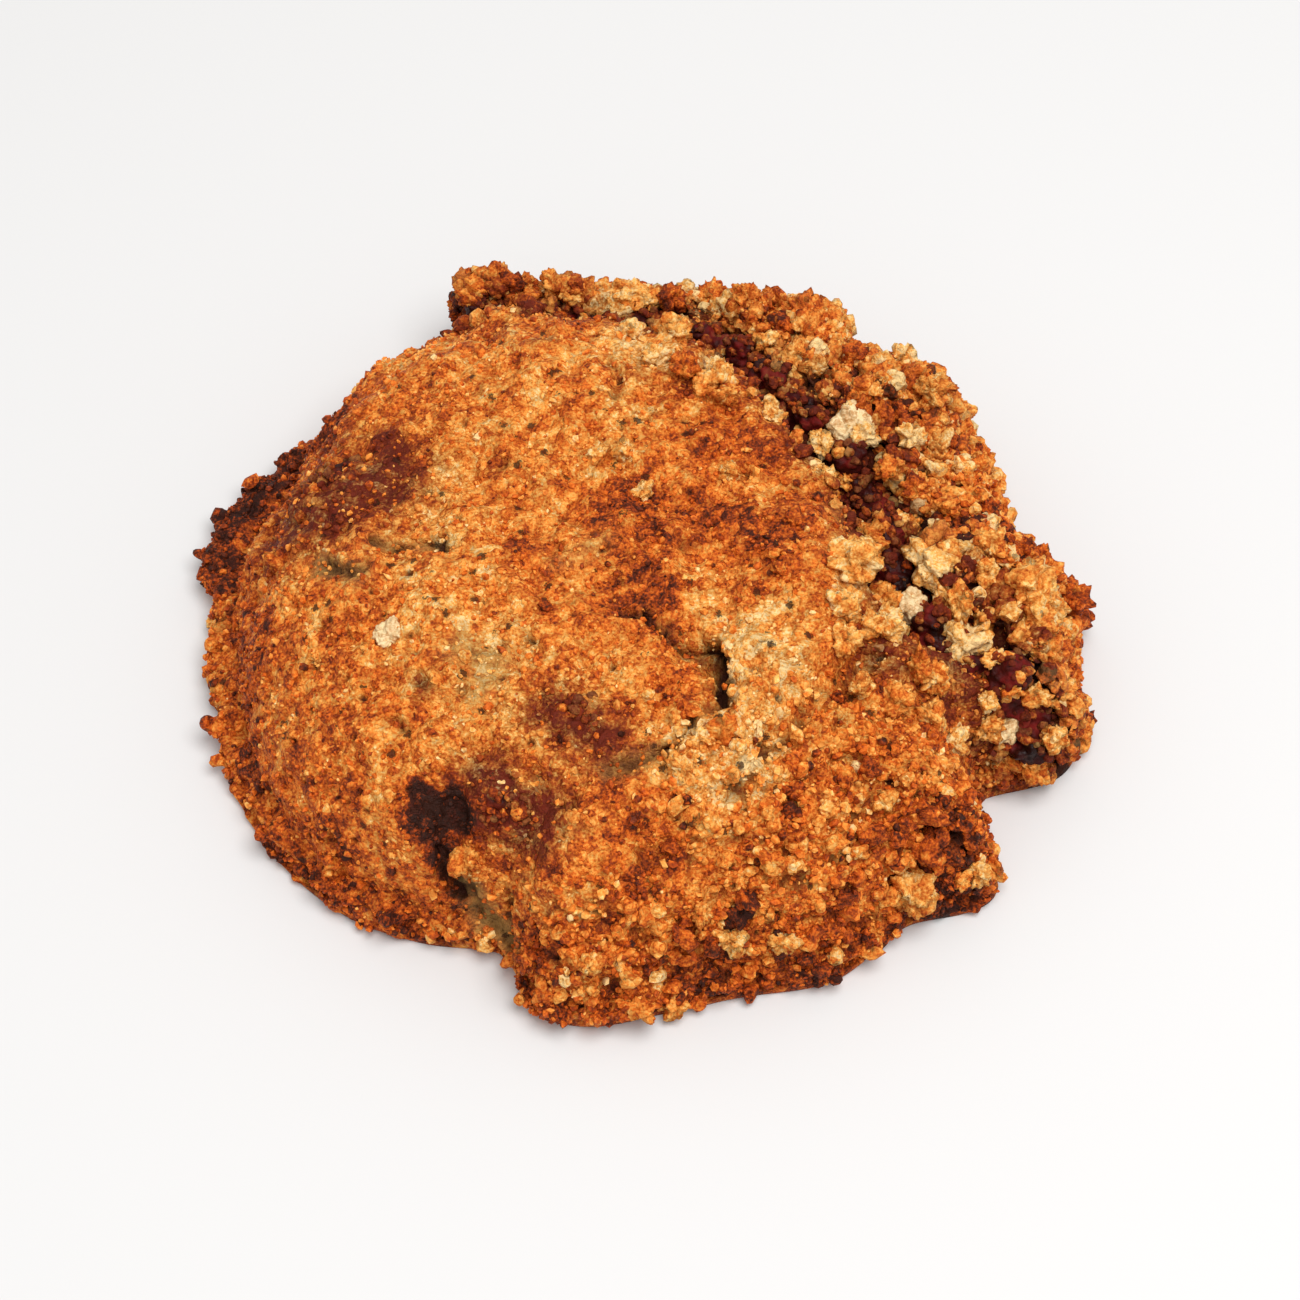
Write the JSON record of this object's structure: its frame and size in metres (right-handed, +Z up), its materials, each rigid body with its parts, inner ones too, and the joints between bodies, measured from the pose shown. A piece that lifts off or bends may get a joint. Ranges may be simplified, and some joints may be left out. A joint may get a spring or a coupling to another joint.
{
  "type": "white chocolate and jam cookie",
  "caption": "Thick round crumbly cookie with a domed crust, a seam of dark jam at its back and right edge, jam spots and white chocolate pieces.",
  "frame": {"origin": "middle of the flat underside, at the centre of the bounding box", "axes": "+Z up through the cookie, its thinnest way; +X to the right and +Y to the back as the picture sees it"},
  "size_m": [0.0979, 0.0958, 0.0249],
  "materials": {
    "dough": "baked crumbly crust, matte, golden to dark brown",
    "jam": "sticky dark red fruit jam, glossy",
    "white_chocolate": "toasted white chocolate, satin"
  },
  "bodies": {
    "root": {"cookie": "dough", "jam_seam": "jam", "jam_pocket_left": "jam", "jam_pocket_front": "jam", "jam_pocket_middle": "jam", "white_chocolate_left": "white_chocolate", "white_chocolate_back": "white_chocolate", "white_chocolate_seam": "white_chocolate", "white_chocolate_rim": "white_chocolate"}
  },
  "joints": []
}
